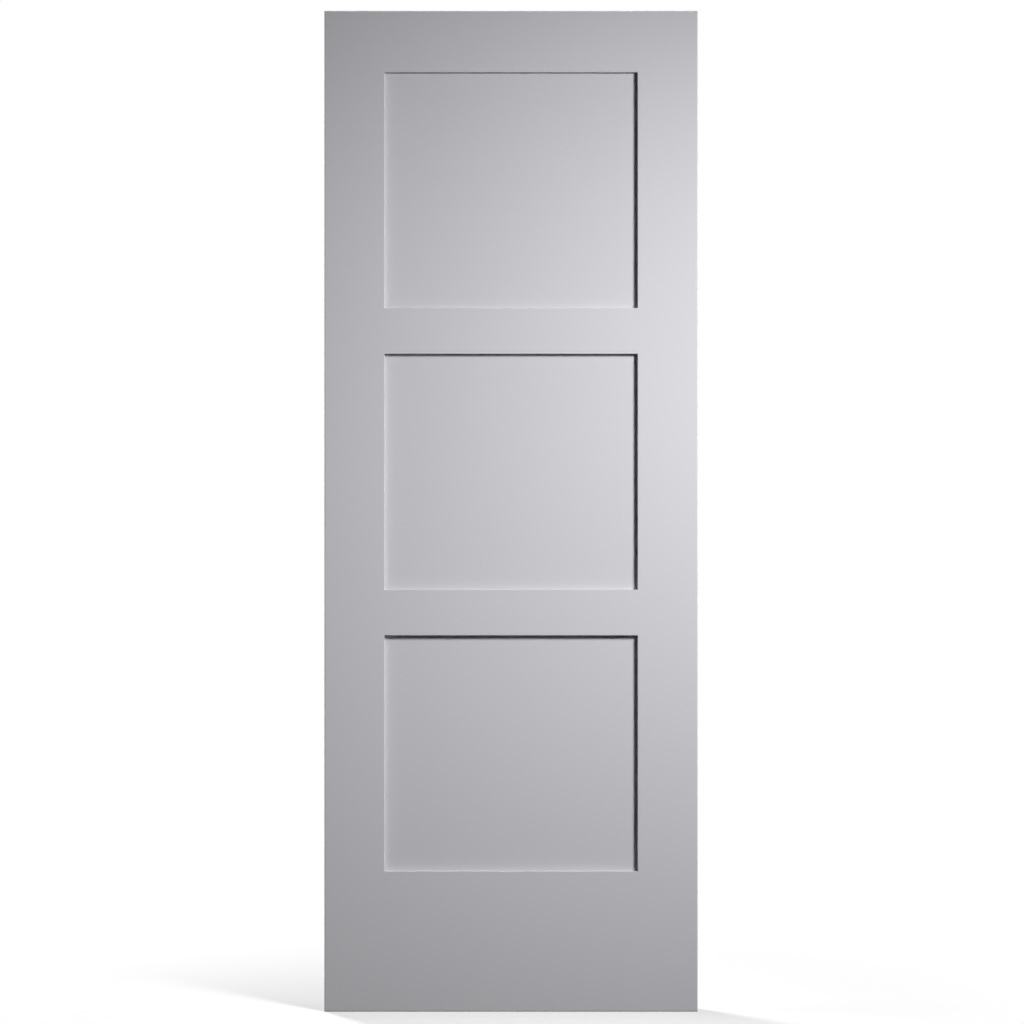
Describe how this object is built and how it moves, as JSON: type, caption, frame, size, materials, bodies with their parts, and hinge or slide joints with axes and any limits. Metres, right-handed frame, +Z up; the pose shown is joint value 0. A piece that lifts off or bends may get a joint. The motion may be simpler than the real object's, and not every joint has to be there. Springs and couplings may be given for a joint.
{
  "type": "shaker door",
  "caption": "Painted stile-and-rail door leaf with flat recessed panels in square-edged openings; hangs by a long edge to close a doorway.",
  "frame": {"origin": "on the hinge edge, at the foot of the door and the middle of its thickness", "axes": "+X across the door to the latch edge, +Y from the front face to the back face, +Z up"},
  "size_m": [0.758, 0.035, 2.032],
  "materials": {
    "painted_frame": "satin grey-white paint over sanded timber",
    "painted_panel": "satin grey-white paint over smooth fibreboard"
  },
  "bodies": {
    "root": {"hinge_stile": "painted_frame", "latch_stile": "painted_frame", "top_rail": "painted_frame", "upper_cross_rail": "painted_frame", "lower_cross_rail": "painted_frame", "bottom_rail": "painted_frame", "upper_panel": "painted_panel", "middle_panel": "painted_panel", "lower_panel": "painted_panel"}
  },
  "joints": []
}
